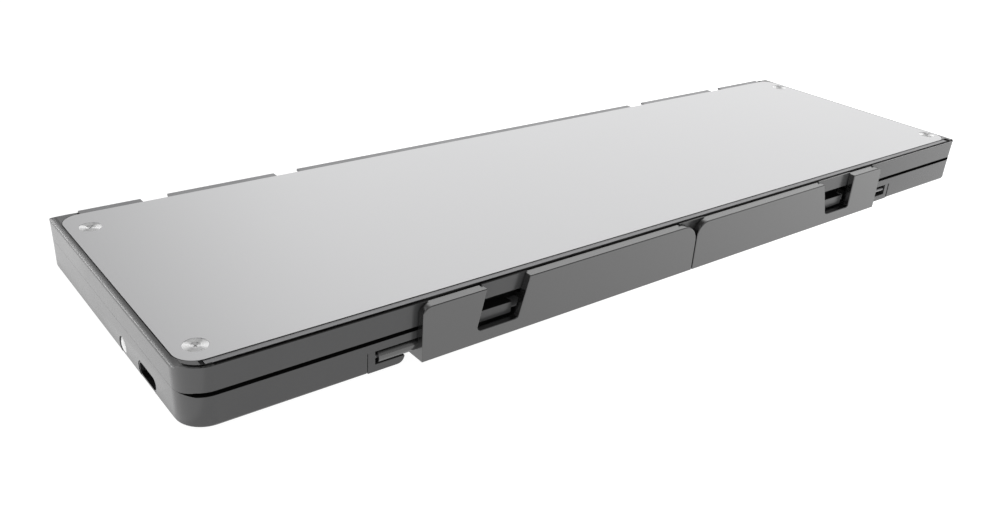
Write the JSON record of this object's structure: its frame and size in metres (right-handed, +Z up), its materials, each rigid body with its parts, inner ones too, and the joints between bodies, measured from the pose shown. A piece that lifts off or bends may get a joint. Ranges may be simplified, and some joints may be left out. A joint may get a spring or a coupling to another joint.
{
  "type": "folding keyboard",
  "caption": "Slim keyboard that folds in half face to face, with a metal lid sheet and two swing-out stand flaps on the front.",
  "frame": {"origin": "centre of the closed keyboard's footprint, on the table it stands on", "axes": "+X along the length, towards the end without the socket; +Y from the flaps to the fold hinge; +Z up"},
  "size_m": [0.2526, 0.0868, 0.0133],
  "materials": {
    "shell": "smooth satin",
    "cover_sheet": "fine bead-blasted",
    "screw_metal": "turned rings",
    "dark_sheet": "satin",
    "hinge_metal": "satin",
    "deck_plastic": "fine grain",
    "dome_rubber": "matt",
    "film": "gloss",
    "battery_foil": "crinkled foil",
    "board": "solder mask",
    "socket_steel": "satin",
    "tongue_plastic": "matt",
    "button_white": "gloss",
    "magnet": "plated",
    "feet_rubber": "matt",
    "flex_film": "satin",
    "key_plastic": "fine grain"
  },
  "bodies": {
    "base": {"base_frame": "shell", "base_cover": "cover_sheet", "base_cover_screws": "screw_metal", "base_deck": "deck_plastic", "base_dome_sheet": "dome_rubber", "base_membrane": "film", "base_support_plate": "dark_sheet", "battery": "battery_foil", "controller_board": "board", "usb_c_shell": "socket_steel", "usb_c_tongue": "tongue_plastic", "power_switch": "tongue_plastic", "base_magnets": "magnet", "hinge_base_left": "hinge_metal", "hinge_base_right": "hinge_metal", "hinge_pins": "hinge_metal", "rubber_feet": "feet_rubber", "flex_cable_base": "flex_film", "flap_hinge_caps": "shell", "flap_hinge_pins": "hinge_metal"},
    "lid": {"lid_frame": "shell", "lid_cover": "cover_sheet", "lid_cover_screws": "screw_metal", "lid_chassis": "dark_sheet", "lid_deck": "deck_plastic", "lid_dome_sheet": "dome_rubber", "lid_membrane": "film", "lid_magnets": "magnet", "hinge_lid_left": "hinge_metal", "hinge_lid_right": "hinge_metal", "flex_cable_lid": "flex_film"},
    "power_button": {"power_button": "button_white"},
    "stand_flap_left": {"stand_flap_left": "shell"},
    "stand_flap_right": {"stand_flap_right": "shell"},
    "esc_key": {"esc_key": "key_plastic"},
    "function_keys": {"function_keys": "key_plastic"},
    "delete_key": {"delete_key": "key_plastic"},
    "number_keys": {"number_keys": "key_plastic"},
    "backspace_key": {"backspace_key": "key_plastic"},
    "tab_key": {"tab_key": "key_plastic"},
    "top_letter_keys": {"top_letter_keys": "key_plastic"},
    "backslash_key": {"backslash_key": "key_plastic"},
    "caps_lock_key": {"caps_lock_key": "key_plastic"},
    "home_letter_keys": {"home_letter_keys": "key_plastic"},
    "enter_key": {"enter_key": "key_plastic"},
    "left_shift_key": {"left_shift_key": "key_plastic"},
    "bottom_letter_keys": {"bottom_letter_keys": "key_plastic"},
    "up_arrow_key": {"up_arrow_key": "key_plastic"},
    "right_shift_key": {"right_shift_key": "key_plastic"},
    "left_ctrl_key": {"left_ctrl_key": "key_plastic"},
    "fn_key": {"fn_key": "key_plastic"},
    "system_key": {"system_key": "key_plastic"},
    "left_alt_key": {"left_alt_key": "key_plastic"},
    "space_key": {"space_key": "key_plastic"},
    "right_alt_key": {"right_alt_key": "key_plastic"},
    "right_ctrl_key": {"right_ctrl_key": "key_plastic"},
    "left_arrow_key": {"left_arrow_key": "key_plastic"},
    "down_arrow_key": {"down_arrow_key": "key_plastic"},
    "right_arrow_key": {"right_arrow_key": "key_plastic"}
  },
  "joints": [
    {"name": "lid_fold", "type": "hinge", "parent": "base", "child": "lid", "pos_m": [0, 0.0412, 0.0067], "axis": [-1, 0, 0], "range_deg": [0, 180]},
    {"name": "stand_flap_left_swing", "type": "hinge", "parent": "base", "child": "stand_flap_left", "pos_m": [-0.04, -0.0403, 0.00345], "axis": [1, 0, 0], "range_deg": [0, 75]},
    {"name": "stand_flap_right_swing", "type": "hinge", "parent": "base", "child": "stand_flap_right", "pos_m": [0.04, -0.0403, 0.00345], "axis": [1, 0, 0], "range_deg": [0, 75]},
    {"name": "power_button_press", "type": "slide", "parent": "base", "child": "power_button", "axis": [1, 0, 0], "range_m": [0, 0.0004], "stiffness_N_per_m": 600},
    {"name": "esc_key_press", "type": "slide", "parent": "base", "child": "esc_key", "axis": [0, 0, -1], "range_m": [0, 0.0012], "stiffness_N_per_m": 500},
    {"name": "function_keys_press", "type": "slide", "parent": "base", "child": "function_keys", "axis": [0, 0, -1], "range_m": [0, 0.0012], "stiffness_N_per_m": 500},
    {"name": "delete_key_press", "type": "slide", "parent": "base", "child": "delete_key", "axis": [0, 0, -1], "range_m": [0, 0.0012], "stiffness_N_per_m": 500},
    {"name": "number_keys_press", "type": "slide", "parent": "base", "child": "number_keys", "axis": [0, 0, -1], "range_m": [0, 0.0012], "stiffness_N_per_m": 500},
    {"name": "backspace_key_press", "type": "slide", "parent": "base", "child": "backspace_key", "axis": [0, 0, -1], "range_m": [0, 0.0012], "stiffness_N_per_m": 500},
    {"name": "tab_key_press", "type": "slide", "parent": "base", "child": "tab_key", "axis": [0, 0, -1], "range_m": [0, 0.0012], "stiffness_N_per_m": 500},
    {"name": "top_letter_keys_press", "type": "slide", "parent": "base", "child": "top_letter_keys", "axis": [0, 0, -1], "range_m": [0, 0.0012], "stiffness_N_per_m": 500},
    {"name": "backslash_key_press", "type": "slide", "parent": "base", "child": "backslash_key", "axis": [0, 0, -1], "range_m": [0, 0.0012], "stiffness_N_per_m": 500},
    {"name": "caps_lock_key_press", "type": "slide", "parent": "lid", "child": "caps_lock_key", "axis": [0, 0, 1], "range_m": [0, 0.0012], "stiffness_N_per_m": 500},
    {"name": "home_letter_keys_press", "type": "slide", "parent": "lid", "child": "home_letter_keys", "axis": [0, 0, 1], "range_m": [0, 0.0012], "stiffness_N_per_m": 500},
    {"name": "enter_key_press", "type": "slide", "parent": "lid", "child": "enter_key", "axis": [0, 0, 1], "range_m": [0, 0.0012], "stiffness_N_per_m": 500},
    {"name": "left_shift_key_press", "type": "slide", "parent": "lid", "child": "left_shift_key", "axis": [0, 0, 1], "range_m": [0, 0.0012], "stiffness_N_per_m": 500},
    {"name": "bottom_letter_keys_press", "type": "slide", "parent": "lid", "child": "bottom_letter_keys", "axis": [0, 0, 1], "range_m": [0, 0.0012], "stiffness_N_per_m": 500},
    {"name": "up_arrow_key_press", "type": "slide", "parent": "lid", "child": "up_arrow_key", "axis": [0, 0, 1], "range_m": [0, 0.0012], "stiffness_N_per_m": 500},
    {"name": "right_shift_key_press", "type": "slide", "parent": "lid", "child": "right_shift_key", "axis": [0, 0, 1], "range_m": [0, 0.0012], "stiffness_N_per_m": 500},
    {"name": "left_ctrl_key_press", "type": "slide", "parent": "lid", "child": "left_ctrl_key", "axis": [0, 0, 1], "range_m": [0, 0.0012], "stiffness_N_per_m": 500},
    {"name": "fn_key_press", "type": "slide", "parent": "lid", "child": "fn_key", "axis": [0, 0, 1], "range_m": [0, 0.0012], "stiffness_N_per_m": 500},
    {"name": "system_key_press", "type": "slide", "parent": "lid", "child": "system_key", "axis": [0, 0, 1], "range_m": [0, 0.0012], "stiffness_N_per_m": 500},
    {"name": "left_alt_key_press", "type": "slide", "parent": "lid", "child": "left_alt_key", "axis": [0, 0, 1], "range_m": [0, 0.0012], "stiffness_N_per_m": 500},
    {"name": "space_key_press", "type": "slide", "parent": "lid", "child": "space_key", "axis": [0, 0, 1], "range_m": [0, 0.0012], "stiffness_N_per_m": 500},
    {"name": "right_alt_key_press", "type": "slide", "parent": "lid", "child": "right_alt_key", "axis": [0, 0, 1], "range_m": [0, 0.0012], "stiffness_N_per_m": 500},
    {"name": "right_ctrl_key_press", "type": "slide", "parent": "lid", "child": "right_ctrl_key", "axis": [0, 0, 1], "range_m": [0, 0.0012], "stiffness_N_per_m": 500},
    {"name": "left_arrow_key_press", "type": "slide", "parent": "lid", "child": "left_arrow_key", "axis": [0, 0, 1], "range_m": [0, 0.0012], "stiffness_N_per_m": 500},
    {"name": "down_arrow_key_press", "type": "slide", "parent": "lid", "child": "down_arrow_key", "axis": [0, 0, 1], "range_m": [0, 0.0012], "stiffness_N_per_m": 500},
    {"name": "right_arrow_key_press", "type": "slide", "parent": "lid", "child": "right_arrow_key", "axis": [0, 0, 1], "range_m": [0, 0.0012], "stiffness_N_per_m": 500}
  ]
}
